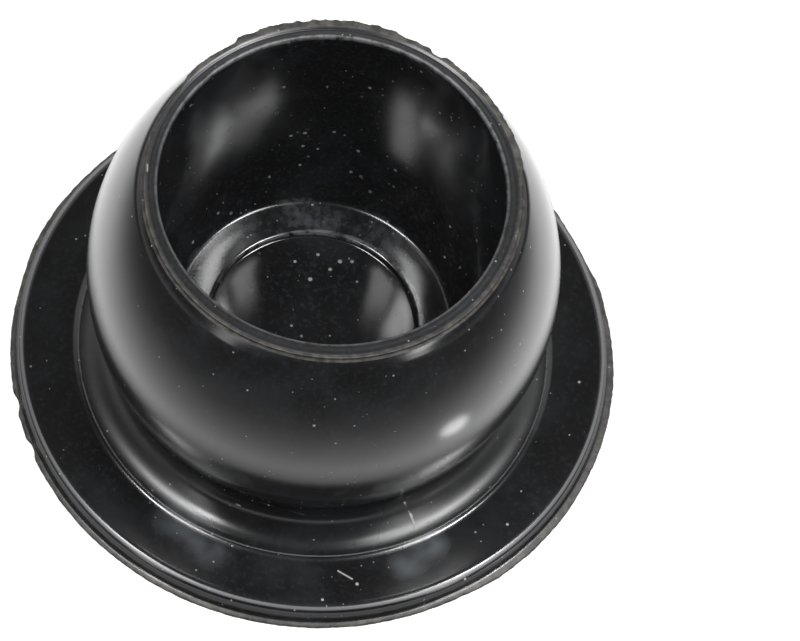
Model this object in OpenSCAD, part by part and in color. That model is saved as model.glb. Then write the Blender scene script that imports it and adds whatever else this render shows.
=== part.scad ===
// Blanking plug: one moulding with a thin round flange, a waisted neck, a barrel
// that snaps through a panel hole, and a deep hollow that opens at the top.
// It stands on its flange. Origin at the middle of the underside, +Z up, millimetres.

/* [Flange] */
// Diameter of the flange, without its flash
flange_d = 25.2; // [24:0.1:30]
// Thickness of the flange
flange_t = 1.05; // [0.8:0.05:1.6]
// Radius of the flange's rounded upper edge
flange_edge_r = 0.3; // [0.1:0.05:0.5]
// Width of the witness bead where the neck meets the flange
witness_w = 0.12; // [0.06:0.02:0.3]

/* [Barrel] */
// Height of the plug above its underside
height = 14.5; // [12.5:0.1:17]
// Diameter of the barrel at its widest
bulge_d = 19.8; // [19:0.1:21]
// Height of the widest part above the underside
bulge_z = 8; // [7:0.1:9]
// Diameter of the waist that sits in the panel hole
neck_d = 17.2; // [16:0.1:17.8]
// Thickness of the barrel's wall at the mouth
mouth_wall = 0.6; // [0.4:0.05:1]

/* [Hollow] */
// Inside diameter of the mouth; the barrel's outside follows it, a wall further out
mouth_bore_d = 14.4; // [13:0.1:15]
// Inside diameter where the wall comes down to the floor
floor_d = 12; // [10:0.1:13]
// Thickness of the web under the hollow
floor_t = 3; // [2:0.1:5]
// Radius in the corner between the wall and the floor
corner_r = 0.25; // [0.1:0.05:1]
// Diameter of the shallow disc that the core pin leaves in the floor
core_disc_d = 8.9; // [4:0.1:9.4]
// Depth of that disc
core_disc_depth = 0.3; // [0.1:0.05:0.8]

/* [Flash] */
// Furthest reach of the flash past the flange's edge
flange_flash_reach = 0.4; // [0.1:0.05:0.8]
// Thickness of the flash at the flange's underside
flange_flash_t = 0.2; // [0.1:0.05:0.4]
// Furthest reach of the flash past the mouth's edge, on its heavy side
mouth_flash_reach = 0.5; // [0.1:0.05:0.8]
// Reach of that flash on its light side
mouth_flash_least = 0.05; // [0:0.05:0.4]
// Direction of its heavy side, in degrees from the X axis
mouth_flash_side = 105; // [0:5:355]
// Thickness of the flash at the mouth
mouth_flash_t = 0.15; // [0.1:0.05:0.3]
// Depth of the deepest nick in the flash, as a share of its reach
flash_tear = 0.7; // [0:0.05:0.8]

/* [Hidden] */

$fn = 96;
over = 1;                  // how far a cutting shape runs past what it cuts
blend = 0.002;             // how far a blending arc runs into what it touches
flash_points = 120;        // corners of a torn edge, a multiple of four
flash_root = 0.3;          // how far the flash is rooted in the wall behind it
flash_seed = 11;           // picks where the torn edge has its nicks

flange_r = flange_d / 2;
bulge_r = bulge_d / 2;
neck_r = neck_d / 2;
mouth_r = mouth_bore_d / 2 + mouth_wall;

// The barrel's outline is one arc from the mouth to the neck, widest at bulge_z.
barrel_rise = height - bulge_z;
barrel_fall = bulge_r - mouth_r;
barrel_arc_r = (barrel_rise ^ 2 + barrel_fall ^ 2) / (2 * barrel_fall);
barrel_c = [bulge_r - barrel_arc_r, bulge_z];

// The cove below it touches three things: the flange's top, the neck's diameter
// and the barrel's arc. Its radius is the smaller root of the tangency condition.
cove_a = neck_r - barrel_c.x;
cove_b = bulge_z - flange_t;
cove_h = cove_b + barrel_arc_r - cove_a;
cove_r = cove_h - sqrt(cove_h ^ 2 - (cove_a ^ 2 + cove_b ^ 2 - barrel_arc_r ^ 2));
cove_c = [neck_r + cove_r, flange_t + cove_r];
// A point well inside the barrel, on the line through both arcs' centres.
cove_root = barrel_c + (barrel_arc_r - over) * (cove_c - barrel_c) / norm(cove_c - barrel_c);

// The hollow's wall leans out from the floor to the mouth, and its corner radius
// touches both the floor and the wall.
wall_lean = atan((mouth_bore_d - floor_d) / 2 / (height - floor_t));
corner_c = [floor_d / 2 - corner_r * tan((90 - wall_lean) / 2), floor_t + corner_r];
corner_top = corner_c + corner_r * [cos(wall_lean), -sin(wall_lean)];

// How much of the flash's reach is missing at each corner of its edge: mostly little,
// and now and then a deep nick.
nicks = [for (x = rands(0, 1, flash_points, flash_seed)) flash_tear * x ^ 3];

// The corners on the X and Y axes keep the whole reach, so the plug's box stays centred.
function flash_a(i) = 360 * i / flash_points;
function flash_share(i) = i % (flash_points / 4) == 0 ? 1 : 1 - nicks[i];

// The mouth's flash is heaviest where the mould halves met worst, and thins away from there.
function mouth_reach(a) = mouth_flash_least
    + (mouth_flash_reach - mouth_flash_least) * ((1 + cos(a - mouth_flash_side)) / 2) ^ 4;

module flange_profile() {
    square([flange_r - flange_edge_r, flange_t]);
    square([flange_r, flange_t - flange_edge_r]);
    translate([flange_r - flange_edge_r, flange_t - flange_edge_r]) circle(flange_edge_r);
}

module barrel_profile() {
    intersection() {
        translate(barrel_c) circle(barrel_arc_r, $fn = 360);
        translate([0, flange_t]) square([bulge_r + over, height - flange_t]);
    }
}

// The neck: a block under the barrel's arc and the cove's centre, hollowed by the cove.
module waisted_profile() {
    difference() {
        union() {
            barrel_profile();
            polygon([[0, 0], [cove_c.x, 0], cove_c, cove_root, [0, cove_root.y]]);
        }
        translate(cove_c) circle(cove_r + blend);
    }
}

module witness_profile() {
    translate([cove_c.x, flange_t]) circle(witness_w / 2, $fn = 24);
}

module hollow_profile() {
    polygon([[0, floor_t], [corner_c.x, floor_t], corner_top, [mouth_bore_d / 2, height],
             [mouth_bore_d / 2, height + over], [0, height + over]]);
    translate(corner_c) circle(corner_r + blend, $fn = 48);
    translate([0, floor_t - core_disc_depth]) square([core_disc_d / 2, core_disc_depth + over]);
}

// A fin with a torn edge; reaches holds how far it would run past root_r at each corner.
module flash(root_r, reaches, thickness) {
    linear_extrude(thickness)
        difference() {
            polygon([for (i = [0:flash_points - 1])
                (root_r + reaches[i] * flash_share(i)) * [cos(flash_a(i)), sin(flash_a(i))]]);
            circle(root_r - flash_root);
        }
}

module plug() {
    color("#1c1c1e") {
        rotate_extrude()
            difference() {
                union() {
                    flange_profile();
                    waisted_profile();
                    witness_profile();
                }
                hollow_profile();
            }
        flash(flange_r, [for (i = [0:flash_points - 1]) flange_flash_reach], flange_flash_t);
        translate([0, 0, height - mouth_flash_t])
            flash(mouth_r, [for (i = [0:flash_points - 1]) mouth_reach(flash_a(i))], mouth_flash_t);
    }
}

plug();
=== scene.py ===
"""Dressed model of a push-in blanking plug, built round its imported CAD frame.

The plug is one black rubber moulding that stands on its flange: a thin round flange,
a waisted neck, a barrel that snaps through a panel hole, and a deep hollow that opens
at the top. One watertight piece stands for the CAD node. Its outline is worked out
from the same sizes as the solid, and a Geometry Nodes tree turns it about the axis
and tears the moulding flash at both rims. Lengths are metres in Blender; the sizes
below are written in millimetres and scaled once by MM.
"""

from __future__ import annotations

import logging
import math
from dataclasses import dataclass
from enum import Enum
from typing import Any, Sequence

import bpy
from mathutils import Matrix, Vector

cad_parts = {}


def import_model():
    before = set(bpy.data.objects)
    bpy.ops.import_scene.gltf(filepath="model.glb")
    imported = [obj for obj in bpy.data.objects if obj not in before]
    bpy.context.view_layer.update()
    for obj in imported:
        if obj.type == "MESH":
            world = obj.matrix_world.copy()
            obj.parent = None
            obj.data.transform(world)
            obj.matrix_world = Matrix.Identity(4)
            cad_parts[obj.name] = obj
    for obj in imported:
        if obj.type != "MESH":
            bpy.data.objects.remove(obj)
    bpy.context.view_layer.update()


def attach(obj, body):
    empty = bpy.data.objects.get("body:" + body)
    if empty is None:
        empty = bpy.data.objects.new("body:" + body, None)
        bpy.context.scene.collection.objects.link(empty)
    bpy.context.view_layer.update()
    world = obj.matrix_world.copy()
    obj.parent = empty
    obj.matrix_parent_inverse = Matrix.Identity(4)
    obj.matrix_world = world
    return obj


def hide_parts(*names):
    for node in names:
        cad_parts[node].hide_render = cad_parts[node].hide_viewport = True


MM = 0.001
WELD = 1e-7  # metres, below which the seam's and the poles' doubles are merged
LOG = logging.getLogger("blanking_plug")


# ---------------------------------------------------------------- node trees


class Sock:
    """A node socket that does arithmetic by adding Math nodes to its own tree."""

    def __init__(self, maker: "NodeMaker", link: bpy.types.NodeSocket) -> None:
        """Wraps an output socket.

        Args:
            maker: The maker of the tree that the socket belongs to.
            link: The output socket itself.
        """
        self.maker = maker
        self.link = link

    def math(self, operation: str, *others: "Value", first: "Value | None" = None) -> "Sock":
        """Adds one Math node.

        Args:
            operation: The Math node's operation.
            others: The values after this one.
            first: A value that goes before this one, for the reflected operators.

        Returns:
            The node's result.
        """
        values: list[Value] = [self, *others] if first is None else [first, self]
        return self.maker.add("ShaderNodeMath", {"operation": operation}, dict(enumerate(values)))

    def __add__(self, other: "Value") -> "Sock":
        """This plus other."""
        return self.math("ADD", other)

    def __radd__(self, other: "Value") -> "Sock":
        """Other plus this."""
        return self.math("ADD", first=other)

    def __sub__(self, other: "Value") -> "Sock":
        """This minus other."""
        return self.math("SUBTRACT", other)

    def __rsub__(self, other: "Value") -> "Sock":
        """Other minus this."""
        return self.math("SUBTRACT", first=other)

    def __mul__(self, other: "Value") -> "Sock":
        """This times other."""
        return self.math("MULTIPLY", other)

    def __rmul__(self, other: "Value") -> "Sock":
        """Other times this."""
        return self.math("MULTIPLY", first=other)

    def __truediv__(self, other: "Value") -> "Sock":
        """This over other."""
        return self.math("DIVIDE", other)

    def __rtruediv__(self, other: "Value") -> "Sock":
        """Other over this."""
        return self.math("DIVIDE", first=other)

    def __pow__(self, other: "Value") -> "Sock":
        """This to the power of other."""
        return self.math("POWER", other)

    def ramp(self, low: float, high: float) -> "Sock":
        """A smooth rise from nought at low to one at high, or a fall if high is below low."""
        if low < high:
            return self.maker.add(
                "ShaderNodeMapRange",
                {"interpolation_type": "SMOOTHSTEP"},
                {"Value": self, "From Min": low, "From Max": high},
            )
        return 1.0 - self.ramp(high, low)

    def band(self, low: float, high: float, soft: float) -> "Sock":
        """One between low and high, with a soft edge of that width on both sides."""
        return self.ramp(low - soft, low + soft) * self.ramp(high + soft, high - soft)


Value = Sock | float | int | Sequence[float]
Colour = tuple[float, float, float, float]
WHITE: Colour = (1.0, 1.0, 1.0, 1.0)


class NodeMaker:
    """Adds nodes to one tree, for shaders and for geometry alike."""

    def __init__(self, tree: bpy.types.NodeTree) -> None:
        """Takes the tree to add to."""
        self.tree = tree

    def add(
        self,
        kind: str,
        settings: dict[str, Any] | None = None,
        inputs: dict[str | int, Any] | None = None,
        output: str | int = 0,
    ) -> Sock:
        """Makes one node.

        Args:
            kind: The node's type.
            settings: Its properties, which are set before its sockets.
            inputs: Values or links for its input sockets, by name or number.
            output: The output wanted.

        Returns:
            The wrapped output socket, which is empty on a node that has none.
        """
        node = self.tree.nodes.new(kind)
        for name, value in (settings or {}).items():
            setattr(node, name, value)
        for name, value in (inputs or {}).items():
            if isinstance(value, Sock):
                self.tree.links.new(value.link, node.inputs[name])
            else:
                node.inputs[name].default_value = value
        return Sock(self, node.outputs[output] if node.outputs else None)

    def vector(self, operation: str, *values: Value, output: str = "Vector") -> Sock:
        """One Vector Math node on the given values."""
        settings = {"operation": operation}
        return self.add("ShaderNodeVectorMath", settings, dict(enumerate(values)), output)

    def parts(self, vector: Sock) -> tuple[Sock, Sock, Sock]:
        """A vector's three components."""
        first = self.add("ShaderNodeSeparateXYZ", None, {0: vector})
        outputs = first.link.node.outputs
        return first, Sock(self, outputs[1]), Sock(self, outputs[2])

    def join(self, x: Value, y: Value, z: Value) -> Sock:
        """A vector from three components."""
        return self.add("ShaderNodeCombineXYZ", None, {0: x, 1: y, 2: z})

    def blend(self, factor: Value, first: Any, second: Any) -> Sock:
        """A colour mixed from two by a factor."""
        return self.add("ShaderNodeMix", {"data_type": "RGBA"}, {0: factor, 6: first, 7: second}, 2)

    def named(self, kind: str, name: str) -> Sock:
        """A geometry's own attribute of that name."""
        return self.add("GeometryNodeInputNamedAttribute", {"data_type": kind}, {0: name})

    def sampled(self, kind: str, geometry: Sock, value: Sock, index: Sock) -> Sock:
        """The value that another geometry has at an index."""
        inputs = {"Geometry": geometry, "Value": value, "Index": index}
        return self.add("GeometryNodeSampleIndex", {"data_type": kind}, inputs)


@dataclass(frozen=True)
class Noise:
    """A noise pattern, from nought to one.

    Attributes:
        scale: Features a unit of the place that it is read at.
        detail: How many finer layers it has.
        rough: How strongly the finer layers show.
    """

    scale: float
    detail: float = 3.0
    rough: float = 0.6

    def at(self, make: NodeMaker, place: Sock) -> Sock:
        """The noise at a place."""
        inputs = {"Vector": place, "Scale": self.scale, "Detail": self.detail, "Roughness": self.rough}
        return make.add("ShaderNodeTexNoise", {"noise_dimensions": "3D"}, inputs)


# ---------------------------------------------------------------- the plug


class Zone(Enum):
    """Which torn rim an outline point belongs to."""

    NONE = "none"
    FLANGE = "flange"
    MOUTH = "mouth"


@dataclass(frozen=True)
class OutlinePoint:
    """One point of the plug's half outline, in millimetres.

    Attributes:
        r: Distance from the axis.
        z: Height above the underside.
        zone: The torn rim it belongs to, if any.
        reach: Share of that rim's flash that the point is pushed out by.
        core: How far the point follows the mould's core, from nought to one.
    """

    r: float
    z: float
    zone: Zone = Zone.NONE
    reach: float = 0.0
    core: float = 0.0


@dataclass(frozen=True)
class Stretch:
    """A stretch of a rim where the flash is longer or shorter, in degrees from +X.

    Attributes:
        start: Where it starts.
        end: Where it ends.
        soft: How far each end fades over.
        change: Share of the flash's reach that it adds, or takes away if below nought.
    """

    start: float
    end: float
    soft: float
    change: float


@dataclass(frozen=True)
class Nicks:
    """Random nicks all round a rim.

    Attributes:
        scale: How closely they follow each other.
        deep: Share of the flash that the deepest takes away.
        soft: How gently their sides fall, as a share of the noise.
    """

    scale: float
    deep: float
    soft: float


@dataclass(frozen=True)
class TornFlash:
    """The thin flash round one rim, torn to another length at each angle.

    Attributes:
        reach: How far it reaches out where it is longest, in millimetres.
        thickness: Its thickness at the rim, in millimetres.
        usual: Share of the reach that is left outside its stretches.
        stretches: Where it is longer or shorter.
        nicks: Its random nicks, coarse and fine.
    """

    reach: float
    thickness: float
    usual: float
    stretches: tuple[Stretch, ...]
    nicks: tuple[Nicks, ...]

    def left(self, make: NodeMaker, heading: Sock, angle: Sock) -> Sock:
        """The share of the reach that is left at an angle.

        Args:
            make: The maker of the tree's nodes.
            heading: The direction from the axis, for the random nicks.
            angle: The angle from +X in degrees.

        Returns:
            The share, from nought to one.
        """
        share = self.usual
        for stretch in self.stretches:
            share = share + angle.band(stretch.start, stretch.end, stretch.soft) * stretch.change
        for nicks in self.nicks:
            rough = Noise(nicks.scale).at(make, heading)
            share = share * (1.0 - nicks.deep * rough.ramp(0.5 - nicks.soft, 0.5 + nicks.soft))
        return share


Arc = tuple[tuple[float, float], float]


def arc(centre: tuple[float, float], radius: float, start: float, end: float, steps: int
        ) -> list[tuple[float, float]]:
    """Points on an arc, both ends included.

    Args:
        centre: The arc's centre.
        radius: Its radius.
        start: Its first angle in degrees.
        end: Its last angle in degrees.
        steps: How many chords it is cut into.

    Returns:
        The points as (r, z) pairs.
    """
    angles = [math.radians(start + (end - start) * i / steps) for i in range(steps + 1)]
    return [(centre[0] + radius * math.cos(a), centre[1] + radius * math.sin(a)) for a in angles]


@dataclass
class MouldedPlug:
    """The whole plug: flange, neck, barrel, hollow and flash in one piece.

    All lengths are millimetres. The body's main sizes are the solid's. The flange's
    edge, the bead, the flash, the waisted wall and the leaning core are this model's own.

    Attributes:
        flange_r: Radius of the flange without its flash.
        flange_t: Thickness of the flange.
        flange_edge_r: Rounding of the flange's upper edge.
        witness_r: Radius of the small bead at the neck's foot.
        height: Height of the whole plug.
        bulge_r: Radius of the barrel where it is widest.
        bulge_z: Height at which it is widest.
        neck_r: Radius of the neck.
        mouth_r: Outer radius of the mouth.
        mouth_bore_r: Inner radius of the mouth.
        lip_edge_r: Rounding of the mouth's inner edge.
        floor_r: Radius of the hollow's floor.
        floor_t: Height of the floor above the underside.
        corner_r: Rounding between the hollow's wall and its floor.
        core_disc_r: Radius of the sunk disc that the core pin left.
        core_disc_depth: How far the disc is sunk.
        core_disc_swell: How far its middle swells up again.
        waist_r: Radius of the hollow where its wall turns upright.
        waist_z: Height at which it does.
        waist_curve: How keenly the wall rounds in below that.
        flange_flash: The flash at the flange's edge.
        mouth_flash: The flash at the mouth.
        mouth_shift: How far the leaning core carries the mouth sideways.
        floor_shift: How far it carries the floor.
        outer_core: Share of that which the outside follows at the mouth.
        segments: Steps round the axis.
        seed: The seed of the random nicks.
        node: The CAD node that the plug stands for.
    """

    flange_r: float = 12.6
    flange_t: float = 1.05
    flange_edge_r: float = 0.4
    witness_r: float = 0.03
    height: float = 14.5
    bulge_r: float = 9.9
    bulge_z: float = 8.0
    neck_r: float = 8.6
    mouth_r: float = 7.8
    mouth_bore_r: float = 7.2
    lip_edge_r: float = 0.1
    floor_r: float = 6.0
    floor_t: float = 3.0
    corner_r: float = 0.25
    core_disc_r: float = 4.45
    core_disc_depth: float = 0.3
    core_disc_swell: float = 0.1
    waist_r: float = 7.05
    waist_z: float = 10.0
    waist_curve: float = 3.2
    flange_flash: TornFlash = TornFlash(
        reach=0.4, thickness=0.22, usual=0.97,
        stretches=(Stretch(168.0, 312.0, 6.0, -0.3), Stretch(28.0, 41.0, 2.0, -0.2),
                   Stretch(198.5, 201.5, 1.0, -0.36), Stretch(208.5, 211.5, 1.0, -0.336)),
        nicks=(Nicks(5.0, 0.12, 0.25), Nicks(38.0, 0.14, 0.3)))
    mouth_flash: TornFlash = TornFlash(
        reach=0.42, thickness=0.15, usual=0.0,
        stretches=(Stretch(17.0, 149.0, 4.0, 0.64), Stretch(78.0, 128.0, 1.5, 0.36),
                   Stretch(63.0, 67.0, 1.2, -0.448)),
        nicks=(Nicks(14.0, 0.2, 0.15), Nicks(40.0, 0.16, 0.3)))
    mouth_shift: tuple[float, float] = (-0.08, 0.2)
    floor_shift: tuple[float, float] = (-0.15, 0.0)
    outer_core: float = 0.5
    segments: int = 700
    seed: float = 4.0
    node: str = "plug"

    def flange_outline(self) -> list[OutlinePoint]:
        """The underside, the flash at its edge, and the flange up to its flat top."""
        r, t = self.flange_r, self.flange_flash.thickness
        points = [OutlinePoint(x, 0.0) for x in (0.0, 3.0, 7.0, 10.5, r - 0.3, r - 0.02)]
        # Share of the flash's thickness that a point lies at, and of its reach.
        fin = ((0.00, 0.55), (0.01, 0.93), (0.15, 1.0), (0.38, 0.97), (0.52, 0.86),
               (0.66, 0.6), (0.8, 0.3), (0.92, 0.1), (0.99, 0.02), (1.0, 0.0))
        points += [OutlinePoint(r, h * t, Zone.FLANGE, share) for h, share in fin]
        points += [OutlinePoint(r, z) for z in (t + 0.01, t + 0.2, t + 0.35)]
        centre = (r - self.flange_edge_r, self.flange_t - self.flange_edge_r)
        points += [OutlinePoint(*p) for p in arc(centre, self.flange_edge_r, 0, 90, 7)]
        points += [OutlinePoint(x, self.flange_t) for x in (r - 0.5, r - 1.0, r - 1.7, r - 2.3)]
        return points

    def barrel_arc(self) -> Arc:
        """The centre and radius of the barrel's one arc, widest at bulge_z."""
        rise, fall = self.height - self.bulge_z, self.bulge_r - self.mouth_r
        radius = (rise ** 2 + fall ** 2) / (2 * fall)
        return (self.bulge_r - radius, self.bulge_z), radius

    def cove_arc(self) -> Arc:
        """The centre and radius of the neck's cove, which meets the flange and the barrel.

        It touches the flange's top, the neck's radius and the barrel's arc, so that its
        radius is the smaller root of a quadratic.
        """
        centre, radius = self.barrel_arc()
        out, down = self.neck_r - centre[0], self.bulge_z - self.flange_t
        half = down + radius - out
        cove_r = half - math.sqrt(half ** 2 - (out ** 2 + down ** 2 - radius ** 2))
        return (self.neck_r + cove_r, self.flange_t + cove_r), cove_r

    def neck_outline(self) -> list[OutlinePoint]:
        """The witness bead, the cove and the barrel's arc, up to the mouth's flash."""
        centre, radius = self.barrel_arc()
        cove, cove_r = self.cove_arc()
        meet = math.degrees(math.atan2(cove[1] - centre[1], cove[0] - centre[0]))
        flash_foot = self.height - self.mouth_flash.thickness
        top = math.degrees(math.asin((flash_foot - centre[1]) / radius))
        bead = arc((cove[0], self.flange_t), self.witness_r, 0, 150, 5)
        points = [OutlinePoint(*p) for p in bead + arc(cove, cove_r, 266, 180 + meet, 11)]
        barrel = arc(centre, radius, meet, top, 22)[1:]
        return points + [OutlinePoint(*p, core=self.carried(p[1])) for p in barrel]

    def carried(self, z: float) -> float:
        """How far the barrel's outside follows the core's lean at a height."""
        return self.outer_core * max(0.0, (z - self.bulge_z) / (self.height - self.bulge_z)) ** 2

    def lip_outline(self) -> list[OutlinePoint]:
        """The torn flash at the mouth, the lip's face and the mouth's inner edge."""
        r, z, t, core = self.mouth_r, self.height, self.mouth_flash.thickness, self.outer_core
        # Share of the flash's thickness below the top, and of its reach.
        fin = ((0.85, 0.35), (0.7, 0.75), (0.5, 1.0), (0.3, 1.0), (0.12, 0.85))
        points = [OutlinePoint(r, z - t * down, Zone.MOUTH, share, core) for down, share in fin]
        points.append(OutlinePoint(r, z - 0.01, Zone.MOUTH, 0.3, core))
        # How far in from the outer edge, how far below the top, and the core's share.
        face = ((0.04, 0.0, core), (0.1, 0.05, 0.6), (0.2, 0.08, 0.7), (0.32, 0.05, 0.9))
        points += [OutlinePoint(r - inset, z - drop, core=share) for inset, drop, share in face]
        centre = (self.mouth_bore_r + self.lip_edge_r, z - 0.03 - self.lip_edge_r)
        points += [OutlinePoint(*p, core=1.0) for p in arc(centre, self.lip_edge_r, 90, 180, 4)]
        return points

    def hollow_outline(self) -> list[OutlinePoint]:
        """The hollow's wall, its corner, the floor and the core pin's disc."""
        lean = math.atan((self.mouth_bore_r - self.floor_r) / (self.height - self.floor_t))
        quarter = math.tan((math.pi / 2 - lean) / 2)
        corner = (self.floor_r - self.corner_r * quarter, self.floor_t + self.corner_r)
        angle = -math.degrees(lean)
        foot = arc(corner, self.corner_r, angle, -90, 6)
        top = self.height - 0.2
        steps = 30
        heights = [top + (foot[0][1] - top) * k / steps for k in range(steps)]
        wall = [self.wall_point(z, foot[0]) for z in heights]
        points = [OutlinePoint(*p, core=1.0) for p in wall + foot]
        disc, floor, low = self.core_disc_r, self.floor_t, self.floor_t - self.core_disc_depth
        step_foot = disc - 0.12
        run = ((5.5, floor), (5.0, floor), (disc + 0.12, floor), (disc + 0.03, floor - 0.01),
               (disc, floor - 0.04), (disc - 0.02, low + 0.06), (disc - 0.05, low + 0.015),
               (step_foot, low))
        points += [OutlinePoint(r, z, core=1.0) for r, z in run]
        for share in (0.88, 0.75, 0.6, 0.45, 0.3, 0.15, 0.0):
            swell = self.core_disc_swell * (1 - share ** 2)
            points.append(OutlinePoint(step_foot * share, low + swell, core=1.0))
        return points

    def wall_point(self, z: float, foot: tuple[float, float]) -> tuple[float, float]:
        """The hollow's wall at a height: rounded at its foot, then nearly upright to the mouth."""
        if z < self.waist_z:
            below = (self.waist_z - z) / (self.waist_z - foot[1])
            return self.waist_r - (self.waist_r - foot[0]) * below ** self.waist_curve, z
        above = (z - self.waist_z) / (self.height - self.waist_z)
        return self.waist_r + (self.mouth_bore_r - self.waist_r) * above ** 2, z

    def outline(self) -> list[OutlinePoint]:
        """The whole half outline, from the underside's middle to the disc's middle."""
        return (self.flange_outline() + self.neck_outline() + self.lip_outline()
                + self.hollow_outline())

    def shift_at(self, point: OutlinePoint) -> tuple[float, float, float]:
        """How far the leaning core carries a point sideways, in metres."""
        up = max(0.0, min(1.0, (point.z - self.floor_t) / (self.height - self.floor_t)))
        x, y = (low + (high - low) * up for low, high in zip(self.floor_shift, self.mouth_shift))
        return (x * point.core * MM, y * point.core * MM, 0.0)

    def outline_mesh(self) -> bpy.types.Mesh:
        """The half outline as a chain of vertices that carry the tree's attributes."""
        points = self.outline()
        mesh = bpy.data.meshes.new("plug_outline")
        chain = [(i, i + 1) for i in range(len(points) - 1)]
        mesh.from_pydata([(p.r * MM, 0.0, p.z * MM) for p in points], chain, [])
        shift = mesh.attributes.new("core_shift", "FLOAT_VECTOR", "POINT")
        shift.data.foreach_set("vector", [c for p in points for c in self.shift_at(p)])
        for zone, name in ((Zone.FLANGE, "flange_share"), (Zone.MOUTH, "mouth_share")):
            share = mesh.attributes.new(name, "FLOAT", "POINT")
            share.data.foreach_set("value", [p.reach if p.zone is zone else 0.0 for p in points])
        return mesh

    def declare(self, make: NodeMaker, rings: int) -> dict[str, Sock]:
        """Gives the turning tree its sockets, with the plug's sizes as their values.

        Args:
            make: The maker of the tree's nodes.
            rings: How many points the outline has.

        Returns:
            The tree's inputs by name.
        """
        face = make.tree.interface
        face.new_socket("Outline", in_out="INPUT", socket_type="NodeSocketGeometry")
        sizes = {"Segments": ("NodeSocketInt", self.segments), "Rings": ("NodeSocketInt", rings),
                 "Flange Flash": ("NodeSocketFloat", self.flange_flash.reach * MM),
                 "Mouth Flash": ("NodeSocketFloat", self.mouth_flash.reach * MM),
                 "Seed": ("NodeSocketFloat", self.seed)}
        for name, (kind, value) in sizes.items():
            face.new_socket(name, in_out="INPUT", socket_type=kind).default_value = value
        face.new_socket("Plug", in_out="OUTPUT", socket_type="NodeSocketGeometry")
        entry = make.add("NodeGroupInput").link.node.outputs
        return {name: Sock(make, entry[name]) for name in ["Outline", *sizes]}

    def turning_tree(self, rings: int, finish: bpy.types.Material) -> bpy.types.NodeTree:
        """The tree that turns the outline about the axis and tears its flash.

        Args:
            rings: How many points the outline has.
            finish: The rubber's material.

        Returns:
            The Geometry Nodes tree.
        """
        tree = bpy.data.node_groups.new("turn_and_tear", "GeometryNodeTree")
        make = NodeMaker(tree)
        given = self.declare(make, rings)
        outline = given["Outline"]

        # A unit grid: its width becomes the turn about the axis, its rows the outline's points.
        grid = make.add("GeometryNodeMeshGrid", None, {
            "Size X": 1.0, "Size Y": 1.0,
            "Vertices X": given["Segments"] + 1, "Vertices Y": given["Rings"]})
        across, along, _ = make.parts(make.add("GeometryNodeInputPosition"))
        angle = (across + 0.5) * 360.0
        turn = angle * (math.tau / 360.0)
        cosine, sine = turn.math("COSINE"), turn.math("SINE")
        row = ((along + 0.5) * (given["Rings"] - 1) + 0.5).math("FLOOR")

        own_place = make.add("GeometryNodeInputPosition")
        radius, _, rise = make.parts(make.sampled("FLOAT_VECTOR", outline, own_place, row))
        own_shift = make.named("FLOAT_VECTOR", "core_shift")
        shift = make.sampled("FLOAT_VECTOR", outline, own_shift, row)
        heading = make.join(cosine, sine, given["Seed"])
        for name, reach, flash in (("flange_share", given["Flange Flash"], self.flange_flash),
                                   ("mouth_share", given["Mouth Flash"], self.mouth_flash)):
            share = make.sampled("FLOAT", outline, make.named("FLOAT", name), row)
            radius = radius + share * reach * flash.left(make, heading, angle)

        place = make.vector("ADD", make.join(radius * cosine, radius * sine, rise), shift)
        turned = make.add("GeometryNodeSetPosition", None, {"Geometry": grid, "Position": place})
        closed = make.add("GeometryNodeMergeByDistance", None, {"Geometry": turned, "Distance": WELD})
        smooth = make.add("GeometryNodeSetShadeSmooth", None, {0: closed})
        real = make.add("GeometryNodeRealizeInstances", None, {0: smooth})
        dressed = make.add("GeometryNodeSetMaterial", None, {"Geometry": real, "Material": finish})
        make.add("NodeGroupOutput", None, {"Plug": dressed})
        return tree

    def build(self, finish: bpy.types.Material) -> bpy.types.Object:
        """Turns the outline into the finished plug.

        Args:
            finish: The rubber's material.

        Returns:
            The plug's object, a plain mesh at the origin.
        """
        rings = len(self.outline())
        maker = bpy.data.objects.new("plug_maker", self.outline_mesh())
        bpy.context.scene.collection.objects.link(maker)
        turning = maker.modifiers.new("turning", "NODES")
        turning.node_group = self.turning_tree(rings, finish)
        for item in turning.node_group.interface.items_tree:
            if item.in_out == "INPUT" and item.socket_type != "NodeSocketGeometry":
                turning[item.identifier] = item.default_value
        bpy.context.view_layer.update()
        graph = bpy.context.evaluated_depsgraph_get()
        mesh = bpy.data.meshes.new_from_object(maker.evaluated_get(graph))
        bpy.data.objects.remove(maker)
        mesh.name = "rubber_plug"
        plug = bpy.data.objects.new("rubber_plug", mesh)
        bpy.context.scene.collection.objects.link(plug)
        return plug


# ---------------------------------------------------------------- finishes


@dataclass(frozen=True)
class Mark:
    """A scratch, speck or painted reflection at its own place on the plug, in millimetres.

    Attributes:
        start: One end.
        end: The other end, the same as start for a speck.
        width: Half its width.
        strength: How strongly it shows, from nought to one.
        core: Share of its half width that shows in full, nought for a soft painted reflection.
    """

    start: tuple[float, float, float]
    end: tuple[float, float, float]
    width: float
    strength: float
    core: float = 0.45

    def mask(self, make: NodeMaker, place: Sock) -> Sock:
        """The mark's mask.

        Args:
            make: The maker of the material's nodes.
            place: Object coordinates.

        Returns:
            The mark's strength on it, nought away from it.
        """
        along = [(b - a) * MM for a, b in zip(self.start, self.end)]
        offset = make.vector("SUBTRACT", place, [c * MM for c in self.start])
        if any(along):
            share = make.vector("DOT_PRODUCT", offset, along, output="Value")
            share = share / sum(c * c for c in along)
            share = share.math("MAXIMUM", 0.0).math("MINIMUM", 1.0)
            nearest = make.join(*(share * c for c in along))
            offset = make.vector("SUBTRACT", offset, nearest)
        away = make.vector("LENGTH", offset, output="Value") / MM
        return away.ramp(self.width, self.width * self.core) * self.strength


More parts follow.
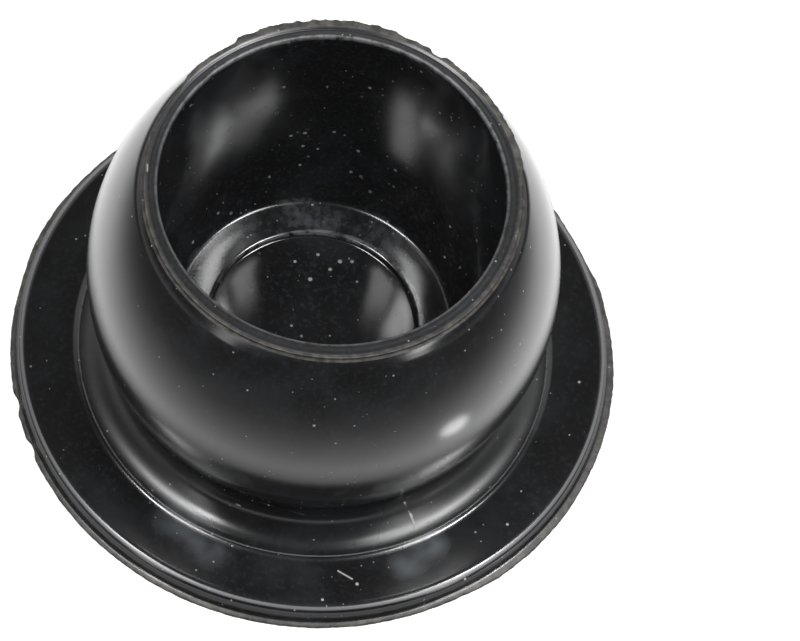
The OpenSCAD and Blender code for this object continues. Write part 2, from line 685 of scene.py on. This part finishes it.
# Scratches and lone specks on the neck, the flange's top, the barrel and the lip.
SCRATCHES = (
    Mark((4.87, -7.21, 2.0), (5.22, -7.45, 1.4), 0.07, 0.9),
    Mark((5.22, -7.45, 1.4), (5.51, -7.86, 1.1), 0.07, 0.9),
    Mark((2.54, -10.38, 1.05), (3.17, -10.65, 1.05), 0.05, 0.6),
    Mark((3.41, -10.85, 1.05), (3.41, -10.85, 1.05), 0.09, 0.7),
    Mark((-1.05, -8.54, 2.6), (0.75, -8.57, 2.2), 0.06, 0.12),
    Mark((-2.92, -9.56, 1.05), (-2.92, -9.56, 1.05), 0.07, 0.5),
    Mark((0.61, -8.68, 2.8), (0.61, -8.68, 2.8), 0.08, 0.5),
    Mark((2.08, -11.82, 1.05), (2.08, -11.82, 1.05), 0.08, 0.7),
    Mark((-0.86, -9.86, 8.1), (-0.86, -9.86, 8.1), 0.06, 0.5),
    Mark((2.4, -9.61, 7.5), (2.4, -9.61, 7.5), 0.06, 0.5),
    Mark((-2.1, -8.44, 1.9), (-1.95, -8.5, 1.9), 0.05, 0.5),
    Mark((-7.92, 1.11, 14.4), (-7.85, 1.3, 14.4), 0.07, 0.45),
    Mark((-7.75, 0.0, 14.45), (-7.7, -0.3, 14.45), 0.05, 0.45),
)

# Crumbs in the hollow, on its far wall and on the disc: each one's place and half width.
HOLLOW_SPECKS = tuple(Mark(place, place, width, 0.55) for place, width in (
    ((-2.27, 6.69, 6.87), 0.1), ((-0.49, 7.05, 7.15), 0.1), ((-1.71, 6.74, 6.09), 0.09),
    ((0.63, 6.89, 6.13), 0.1), ((-2.81, 6.65, 10.93), 0.1), ((0.75, 7.15, 11.1), 0.1),
    ((-1.7, 6.86, 7.0), 0.12), ((-1.07, 6.83, 5.89), 0.08), ((-1.73, 6.47, 4.91), 0.08),
    ((0.58, 3.34, 2.73), 0.12), ((0.22, 2.88, 2.75), 0.1), ((-0.55, 2.25, 2.77), 0.12),
    ((-0.39, 3.51, 2.73), 0.09), ((1.09, 3.43, 2.73), 0.1), ((-1.31, 3.0, 2.75), 0.09)))

# Painted reflections: soft lighter patches, two on the flange's top and two on the hollow's floor beside
# the disc.
PAINTED_REFLECTIONS = (
    Mark((-4.6, -9.1, 1.05), (-2.9, -10.2, 1.05), 1.3, 0.7, core=0.0),
    Mark((6.3, -8.5, 1.05), (5.3, -9.6, 1.05), 1.0, 0.9, core=0.0),
    Mark((-5.4, 0.6, 3.0), (-5.2, -1.2, 3.0), 1.1, 0.8, core=0.0),
    Mark((4.9, 0.4, 3.0), (4.6, -1.6, 3.0), 1.0, 0.8, core=0.0),
)


@dataclass(frozen=True)
class SpeckPattern:
    """Round specks of many sizes, scattered at random.

    Attributes:
        cells: Cells a metre, each with room for one speck.
        empty: Share of the cells that stay empty.
        largest: Radius of the largest speck, in cells.
    """

    cells: float
    empty: float
    largest: float

    def mask(self, make: NodeMaker, place: Sock) -> Sock:
        """The specks' mask.

        Args:
            make: The maker of the material's nodes.
            place: Object coordinates.

        Returns:
            One on a speck, nought between them.
        """
        cell = make.add("ShaderNodeTexVoronoi", {"voronoi_dimensions": "3D"},
                        {"Vector": place, "Scale": self.cells}, "Distance")
        lot, _, _ = make.parts(Sock(make, cell.link.node.outputs["Color"]))
        return (lot.ramp(self.empty, 1.0) * self.largest - cell).ramp(0.0, 0.05)


class PlugSurface:
    """Masks for the parts of the plug's surface, worked out from the plug's own sizes.

    Each mask is one on its part and nought elsewhere, with soft edges. The small numbers
    beside the sizes are margins in millimetres.
    """

    def __init__(self, make: NodeMaker, plug: MouldedPlug) -> None:
        """Works out where a point of the surface lies, in millimetres.

        Args:
            make: The maker of the material's nodes.
            plug: The plug that the sizes are taken from.
        """
        self.plug = plug
        self.place = make.add("ShaderNodeTexCoord", None, None, "Object")
        x, y, z = make.parts(self.place)
        self.x, self.y, self.height = x / MM, y / MM, z / MM
        flat = make.join(x, y, 0.0)
        self.across = make.vector("LENGTH", flat, output="Value") / MM
        from_mouth = make.vector("SUBTRACT", flat, [c * MM for c in (*plug.mouth_shift, 0.0)])
        self.mouth_across = make.vector("LENGTH", from_mouth, output="Value") / MM

    def torn(self) -> Sock:
        """The torn flash at both rims."""
        edge, mouth, top = self.plug.flange_r, self.plug.mouth_r, self.plug.height
        flange_fin = self.across.ramp(edge + 0.02, edge + 0.12)
        mouth_fin = self.mouth_across.ramp(mouth - 0.12, mouth - 0.04)
        mouth_fin = self.height.ramp(top - 0.17, top - 0.14) * mouth_fin
        return (flange_fin + mouth_fin).math("MINIMUM", 1.0)

    def lip(self) -> Sock:
        """The lip's face, with the torn flash beside it."""
        top = self.plug.height
        return self.height.ramp(top - 0.14, top - 0.08)

    def mouth_edge(self) -> Sock:
        """The mouth's rubbed inner edge with a painted highlight, which shows less on its near side."""
        bore, top = self.plug.mouth_bore_r, self.plug.height
        # Wear, with a painted highlight that is stronger on the far side.
        wear_and_far_highlight = self.height.ramp(top - 0.25, top - 0.12) * (0.35 + 0.65 * self.y.ramp(0.0, 6.0))
        return wear_and_far_highlight * self.mouth_across.ramp(bore + 0.16, bore + 0.1)

    def inside(self) -> Sock:
        """The whole hollow."""
        bore, low = self.plug.mouth_bore_r, self.plug.floor_t - self.plug.core_disc_depth
        return self.height.ramp(low - 0.1, low - 0.08) * self.mouth_across.ramp(bore + 0.1, bore)

    def flange_rim(self) -> Sock:
        """A lighter line round the flange's upper edge."""
        edge, top = self.plug.flange_r, self.plug.flange_t
        return self.across.band(edge - 0.26, edge - 0.14, 0.03) * self.height.ramp(top - 0.19, top - 0.1)

    def disc_step(self) -> Sock:
        """The step down to the sunk disc, where a lighter broken line is a painted highlight."""
        disc, floor = self.plug.core_disc_r, self.plug.floor_t
        edge = self.across.band(disc - 0.07, disc + 0.15, 0.04)
        return self.height.band(floor - 0.2, floor + 0.1, 0.05) * edge

    def floor_ring(self) -> Sock:
        """The floor's flat ring round the disc."""
        disc, wall, floor = self.plug.core_disc_r, self.plug.floor_r, self.plug.floor_t
        flat = self.across.band(disc + 0.15, wall + 0.2, 0.15)
        return self.height.band(floor - 0.1, floor + 0.2, 0.05) * flat

    def witness(self) -> Sock:
        """The small bead at the neck's foot."""
        (bead, _), _ = self.plug.cove_arc()
        top = self.plug.flange_t
        crest = self.height.ramp(top + 0.25, top + 0.1) * self.height.ramp(top - 0.01, top + 0.01)
        return self.across.band(bead - 0.048, bead + 0.012, 0.01) * crest

    def neck_sides(self) -> Sock:
        """The neck's cove away from its front and its back."""
        (foot, _), _ = self.plug.cove_arc()
        neck, top = self.plug.neck_r, self.plug.flange_t
        cove = self.height.ramp(top + 2.35, top + 1.15) * self.across.ramp(neck - 0.3, neck - 0.1)
        return cove * self.across.ramp(foot + 0.1, foot - 0.1) * self.x.math("ABSOLUTE").ramp(2.2, 5.5)


@dataclass(frozen=True)
class Layer:
    """One thing that lies on the rubber.

    Attributes:
        where: The mask of where it lies.
        shows: Share of its colour that shows there.
        tint: Its colour.
        dulls: How much it adds to the roughness.
    """

    where: Sock
    shows: Value
    tint: Colour
    dulls: float = 0.0


@dataclass(frozen=True)
class RubberFinish:
    """Glossy moulded black rubber with haze, dust, scuffs and a dull torn flash, and with painted
    reflections and painted highlights in its colour.

    Attributes:
        plug: The plug that it covers, for its sizes.
        black: The clean rubber.
        haze: Its faint bloom.
        torn: The torn flash.
        wear_and_highlight: Lighter edges: wear with a painted highlight at the mouth, a lighter line at
            the flange's rim and a painted highlight at the disc's step.
        haze_and_painted_reflection: The floor ring's haze and the painted reflections.
        dust: Dust, crumbs and scratches.
        gloss: The clean rubber's roughness.
        dullest: The most that the roughness may rise to.
        patches: Slow changes over the whole plug, with features a metre.
        fine: The fine roughness of the moulded skin.
        grain: Its finest grain.
        ripple: The slow ripple of its surface.
        dust_specks: Larger specks of dust.
        grit_specks: Fine grit everywhere.
        hollow_specks: More grit in the hollow.
        relief: Strength of the whole relief.
        relief_height: Height of the whole relief, in millimetres.
    """

    plug: MouldedPlug
    black: Colour = (0.0065, 0.0065, 0.0068, 1.0)
    haze: Colour = (0.03, 0.033, 0.038, 1.0)
    torn: Colour = (0.06, 0.055, 0.045, 1.0)
    wear_and_highlight: Colour = (0.12, 0.12, 0.125, 1.0)
    haze_and_painted_reflection: Colour = (0.07, 0.077, 0.084, 1.0)
    dust: Colour = (0.34, 0.35, 0.34, 1.0)
    gloss: float = 0.15
    dullest: float = 0.95
    patches: Noise = Noise(320.0)
    fine: Noise = Noise(2600.0)
    grain: Noise = Noise(5200.0, 2.0, 0.5)
    ripple: Noise = Noise(180.0, 1.0, 0.4)
    dust_specks: SpeckPattern = SpeckPattern(1400.0, 0.68, 0.11)
    grit_specks: SpeckPattern = SpeckPattern(3000.0, 0.6, 0.16)
    hollow_specks: SpeckPattern = SpeckPattern(2100.0, 0.3, 0.2)
    relief: float = 0.25
    relief_height: float = 0.05

    def material(self) -> bpy.types.Material:
        """Builds the material's nodes.

        Returns:
            The material.
        """
        material = bpy.data.materials.new("black_rubber")
        material.use_nodes = True
        material.node_tree.nodes.clear()
        make = NodeMaker(material.node_tree)
        surface = PlugSurface(make, self.plug)
        place, inside, torn = surface.place, surface.inside(), surface.torn()
        patchy, fine = self.patches.at(make, place), self.fine.at(make, place)
        grain = self.grain.at(make, place).ramp(0.5, 0.72)
        # The painted reflections' mask, mottled by the slow patches.
        painted_reflections = self.total(make, place, PAINTED_REFLECTIONS) * patchy.ramp(0.3, 0.6)
        specks = self.specks(make, place, inside * patchy.ramp(0.38, 0.6))

        layers = (
            Layer(patchy.ramp(0.45, 0.75), 0.25, self.haze),
            Layer(grain, 0.2 + 0.1 * inside, self.haze),
            Layer(surface.floor_ring(), patchy.ramp(0.45, 0.7) * fine.ramp(0.35, 0.65) * 0.4,
                  self.haze_and_painted_reflection, 0.06),
            Layer(surface.lip() * (1.0 - torn), fine.ramp(0.3, 0.8) * 0.15, self.haze, 0.12),
            # Painted reflections: lighter bluish patches that stand in for reflections on the flange's
            # top and the floor ring.
            Layer(painted_reflections, 1.0, self.haze_and_painted_reflection, 0.1),
            Layer(surface.mouth_edge(), fine.ramp(0.25, 0.6) * 0.8, self.wear_and_highlight, 0.15),
            Layer(surface.flange_rim(), 0.85, self.wear_and_highlight, 0.15),
            # Painted highlight along the step down to the disc, broken by noise.
            Layer(surface.disc_step(), fine.ramp(0.3, 0.6) * 0.7, self.wear_and_highlight),
            Layer(torn, fine.ramp(0.3, 0.75), self.torn, 0.35),
            Layer(surface.witness(), fine.ramp(0.2, 0.5) * 0.25, self.dust),
            Layer(specks, 1.0, self.dust, 0.5),
        )
        colour: Value = self.black
        # The hollow is a little glossier, and some patches and the neck's sides are duller.
        rough = self.gloss - inside * 0.035 + patchy * 0.05 + surface.neck_sides() * 0.16
        for layer in layers:
            colour = make.blend(layer.where * layer.shows, colour, layer.tint)
            if layer.dulls:
                rough = rough + layer.where * layer.dulls

        ripple = self.ripple.at(make, place)
        relief = ripple * 0.6 + fine * 0.03 + torn * fine * 0.8 + specks * 0.3
        bump = make.add("ShaderNodeBump", None, {
            "Height": relief, "Strength": self.relief, "Distance": self.relief_height * MM}, "Normal")
        shader = make.add("ShaderNodeBsdfPrincipled", None, {
            "Base Color": colour, "Roughness": rough.math("MINIMUM", self.dullest),
            "IOR": 1.55, "Normal": bump})
        make.add("ShaderNodeOutputMaterial", None, {"Surface": shader})
        return material

    def specks(self, make: NodeMaker, place: Sock, dusty: Sock) -> Sock:
        """All the dust, grit, crumbs and scratches.

        Args:
            make: The maker of the material's nodes.
            place: Object coordinates.
            dusty: The mask of where the hollow holds more grit.

        Returns:
            Their mask.
        """
        dust = self.dust_specks.mask(make, place)
        grit = self.grit_specks.mask(make, place) + self.hollow_specks.mask(make, place) * dusty
        scuffs = self.total(make, place, SCRATCHES + HOLLOW_SPECKS)
        return (dust * 0.7 + grit * 0.45 + scuffs).math("MINIMUM", 1.0)

    @staticmethod
    def total(make: NodeMaker, place: Sock, marks: Sequence[Mark]) -> Sock:
        """The masks of several marks as one, at most one where they overlap."""
        whole = marks[0].mask(make, place)
        for mark in marks[1:]:
            whole = whole + mark.mask(make, place)
        return whole.math("MINIMUM", 1.0)


@dataclass(frozen=True)
class FloorFinish:
    """A white sweep: white behind the plug, its cast shadow kept. What other surfaces see of it carries
    a painted pool of light that dims away from the lamps, a painted shade round the plug and a painted
    glint.

    Attributes:
        paper: The paper's own white.
        pool: Middle of the painted pool of light, in metres.
        pool_reach: How far the pool stays at full brightness, in metres.
        pool_fade: How far it takes beyond that to fall to half, in metres.
        pool_power: How steeply it falls.
        dim: The paper's tone where the lamps do not reach.
        shade_foot: Distance from the axis at which the plug's painted shade is deepest, in metres.
        shade_reach: How far from the axis that shade reaches, in metres.
        shade_left: Share of the light that is left in it.
        lift: Extra brightness of the pool in a glossy surface.
        glint: Middle of a small painted glint beside the plug, in metres.
        glint_reach: The glint's radius, in metres.
        glint_core: Share of that radius that is at full brightness.
        glint_glow: Its brightness in a glossy surface.
        seen: The even white that the camera sees, before the light that falls on it.
        cast: How strongly the camera sees that light, and so the plug's shadow.
    """

    paper: float = 0.92
    pool: tuple[float, float, float] = (0.0, 0.018, 0.0)
    pool_reach: float = 0.023
    pool_fade: float = 0.0145
    pool_power: float = 2.5
    dim: float = 0.05
    shade_foot: float = 0.0125
    shade_reach: float = 0.0165
    shade_left: float = 0.25
    lift: float = 0.4
    glint: tuple[float, float, float] = (0.0152, -0.01105, 0.0)
    glint_reach: float = 0.0021
    glint_core: float = 0.6
    glint_glow: float = 6.0
    seen: float = 0.84
    cast: float = 0.28

    @staticmethod
    def grey(level: float) -> Colour:
        """A grey of that level."""
        return (level, level, level, 1.0)

    def material(self) -> bpy.types.Material:
        """Builds the floor's nodes.

        Returns:
            The material.
        """
        material = bpy.data.materials.new("white_sweep")
        material.use_nodes = True
        material.node_tree.nodes.clear()
        make = NodeMaker(material.node_tree)
        place = make.add("ShaderNodeTexCoord", None, None, "Object")
        # The painted pool of light and the painted shade round the plug, in the paper's tone and its
        # glossy glow.
        far = make.vector("DISTANCE", place, self.pool, output="Value") - self.pool_reach
        painted_pool_and_shade = 1.0 / (1.0 + (far.math("MAXIMUM", 0.0) / self.pool_fade) ** self.pool_power)
        beyond = make.vector("LENGTH", place, output="Value")
        open_floor = beyond.ramp(self.shade_foot, self.shade_reach)
        painted_pool_and_shade = painted_pool_and_shade * (self.shade_left + (1.0 - self.shade_left) * open_floor)
        path = make.add("ShaderNodeLightPath", None, None, "Is Camera Ray")
        glossy = Sock(make, path.link.node.outputs["Is Glossy Ray"])
        tone = make.blend(painted_pool_and_shade, self.grey(self.dim), self.grey(self.paper))
        paper = make.add("ShaderNodeBsdfDiffuse", None, {"Color": tone})
        # A painted glint: a glow that only glossy surfaces see.
        near = make.vector("DISTANCE", place, self.glint, output="Value")
        glint = near.ramp(self.glint_reach, self.glint_reach * self.glint_core) * self.glint_glow
        glow = make.add("ShaderNodeEmission", None,
                        {"Color": WHITE, "Strength": (painted_pool_and_shade * self.lift + glint) * glossy})
        lit = make.add("ShaderNodeAddShader", None, {0: paper, 1: glow})
        faint = make.add("ShaderNodeBsdfDiffuse", None, {"Color": self.grey(self.cast)})
        even = make.add("ShaderNodeEmission", None, {"Color": WHITE, "Strength": self.seen})
        seen = make.add("ShaderNodeAddShader", None, {0: faint, 1: even})
        mixed = make.add("ShaderNodeMixShader", None, {0: path, 1: lit, 2: seen})
        make.add("ShaderNodeOutputMaterial", None, {"Surface": mixed})
        return material


@dataclass(frozen=True)
class SurroundingsFinish:
    """The room: a white backdrop behind, grey at the sides, dark in front and overhead.

    Attributes:
        dark: Its level where nothing stands.
        overhead: What is added straight overhead.
        sides: What is added at the sides.
        backdrop: What is added behind the plug.
    """

    dark: float = 0.04
    overhead: float = 0.07
    sides: float = 0.42
    backdrop: float = 0.95

    def world(self) -> bpy.types.World:
        """Builds the world's nodes.

        Returns:
            The world.
        """
        world = bpy.data.worlds.new("surroundings")
        world.use_nodes = True
        world.node_tree.nodes.clear()
        make = NodeMaker(world.node_tree)
        # Parts of the direction looked in, each from minus one to one.
        side, back, up = make.parts(make.add("ShaderNodeTexCoord", None, None, "Generated"))
        behind = back.ramp(0.05, 0.5) * up.ramp(0.84, 0.74)
        beside = back.ramp(-0.95, -0.3) * up.ramp(0.45, 0.05) * (1.0 + side.ramp(0.2, -0.7) * 0.5)
        over = up.ramp(0.8, 0.95) * self.overhead
        level = self.dark + over + behind * self.backdrop + beside * (1.0 - behind) * self.sides
        room = make.add("ShaderNodeBackground", None, {"Color": WHITE, "Strength": level})
        plain = make.add("ShaderNodeBackground", None, {"Color": WHITE, "Strength": 1.0})
        path = make.add("ShaderNodeLightPath", None, None, "Is Camera Ray")
        mixed = make.add("ShaderNodeMixShader", None, {0: path, 1: room, 2: plain})
        make.add("ShaderNodeOutputWorld", None, {"Surface": mixed})
        return world


# ---------------------------------------------------------------- studio


@dataclass(frozen=True)
class StripLamp:
    """A long soft lamp that faces the plug, seen from it as a strip across the sky.

    Attributes:
        name: The lamp's name.
        low: Azimuth and elevation of its lower end in degrees, azimuth from +X.
        high: Azimuth and elevation of its upper end.
        width: The angle that it spans across, in degrees.
        glow: Its brightness, where 1 is white paper in full light.
        distance: How far it stands from the plug, in metres.
    """

    name: str
    low: tuple[float, float]
    high: tuple[float, float]
    width: float
    glow: float
    distance: float = 0.45

    @staticmethod
    def heading(azimuth: float, elevation: float) -> Vector:
        """The unit vector that points to an azimuth and elevation in degrees."""
        az, el = math.radians(azimuth), math.radians(elevation)
        return Vector((math.cos(el) * math.cos(az), math.cos(el) * math.sin(az), math.sin(el)))

    def place(self) -> bpy.types.Object:
        """Makes the lamp.

        Returns:
            The lamp's object.
        """
        low, high = self.heading(*self.low), self.heading(*self.high)
        back = (low + high).normalized()
        along = (high - low).normalized()
        half = low.angle(high) / 2
        lamp = bpy.data.lights.new(self.name, "AREA")
        lamp.shape = "RECTANGLE"
        lamp.size = 2 * self.distance * math.tan(math.radians(self.width / 2))
        lamp.size_y = 2 * self.distance * math.tan(half)
        lamp.energy = math.pi * self.glow * lamp.size * lamp.size_y
        strip = bpy.data.objects.new(self.name, lamp)
        turn = Matrix((along.cross(back), along, back)).transposed().to_4x4()
        strip.matrix_world = Matrix.Translation(back * self.distance) @ turn
        strip.visible_camera = False
        bpy.context.scene.collection.objects.link(strip)
        return strip


@dataclass
class Studio:
    """The floor, the surroundings, the lamps and the camera.

    Attributes:
        lamps: Two groups of strips, to the left and to the right of the plug.
        floor_width: Width of the square floor, in metres.
        floor_gap: How far it lies below the plug, in metres.
        lens: The camera's focal length, in millimetres.
        sensor: The width of its sensor, in millimetres.
        sight: The nearest and the farthest that it sees, in metres.
        tilt: How high the camera stands above the horizon, in degrees.
        roll: How far the view is rolled about its line of sight, in degrees.
        centre_in_view: How far the plug's origin is to the right of the camera, below it
            and in front of it, in millimetres.
    """

    lamps: tuple[StripLamp, ...] = (
        StripLamp("left_low", (232.0, 10.0), (230.0, 50.0), 9.0, 3.2),
        StripLamp("left_middle", (229.0, 52.0), (220.0, 66.0), 8.0, 28.0),
        StripLamp("left_top", (204.0, 58.0), (195.0, 71.0), 7.0, 44.0),
        StripLamp("right_foot", (320.0, 14.0), (321.0, 29.0), 9.0, 5.0),
        StripLamp("right_low", (321.0, 30.0), (334.0, 52.0), 8.0, 9.5),
        StripLamp("right_middle", (333.0, 53.0), (329.0, 66.0), 8.0, 28.0),
        StripLamp("right_top", (354.0, 57.0), (3.0, 71.0), 7.0, 62.0),
    )
    floor_width: float = 3.0
    floor_gap: float = 1e-5
    lens: float = 360.0
    sensor: float = 36.0
    sight: tuple[float, float] = (0.01, 20.0)
    tilt: float = 61.51
    roll: float = 8.846
    centre_in_view: tuple[float, float, float] = (-3.780, 1.590, 341.318)

    def floor(self) -> bpy.types.Object:
        """The floor, just under the plug's underside."""
        half = self.floor_width / 2
        square = ((-half, -half), (half, -half), (half, half), (-half, half))
        corners = [(x, y, -self.floor_gap) for x, y in square]
        mesh = bpy.data.meshes.new("sweep")
        mesh.from_pydata(corners, [], [(0, 1, 2, 3)])
        mesh.materials.append(FloorFinish().material())
        floor = bpy.data.objects.new("sweep", mesh)
        bpy.context.scene.collection.objects.link(floor)
        return floor

    def camera(self) -> bpy.types.Object:
        """The camera, far off with a long lens, tilted and rolled as the view needs.

        Returns:
            The camera's object.
        """
        tilt, roll = math.radians(self.tilt), math.radians(self.roll)
        level, rise = Vector((1.0, 0.0, 0.0)), Vector((0.0, math.sin(tilt), math.cos(tilt)))
        right = level * math.cos(roll) + rise * math.sin(roll)
        up = rise * math.cos(roll) - level * math.sin(roll)
        back = Vector((0.0, -math.cos(tilt), math.sin(tilt)))
        x, y, z = (c * MM for c in self.centre_in_view)
        place = back * z - right * x + up * y
        data = bpy.data.cameras.new("camera")
        data.lens = self.lens
        data.sensor_fit = "HORIZONTAL"
        data.sensor_width = self.sensor
        data.clip_start, data.clip_end = self.sight
        camera = bpy.data.objects.new("camera", data)
        turn = Matrix((right, up, back)).transposed().to_4x4()
        camera.matrix_world = Matrix.Translation(place) @ turn
        bpy.context.scene.collection.objects.link(camera)
        bpy.context.scene.camera = camera
        return camera

    def build(self) -> None:
        """Sets up the whole studio."""
        self.floor()
        bpy.context.scene.world = SurroundingsFinish().world()
        for lamp in self.lamps:
            lamp.place()
        self.camera()
        bpy.context.scene.view_settings.view_transform = "Standard"


def main() -> None:
    """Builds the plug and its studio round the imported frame."""
    logging.basicConfig(level=logging.INFO, format="%(name)s: %(message)s")
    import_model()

    Studio().build()
    plug_maker = MouldedPlug()
    plug = plug_maker.build(RubberFinish(plug_maker).material())
    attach(plug, "root")
    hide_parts(plug_maker.node)
    LOG.info("%s: %d faces", plug.name, len(plug.data.polygons))


if __name__ == "__main__":
    main()
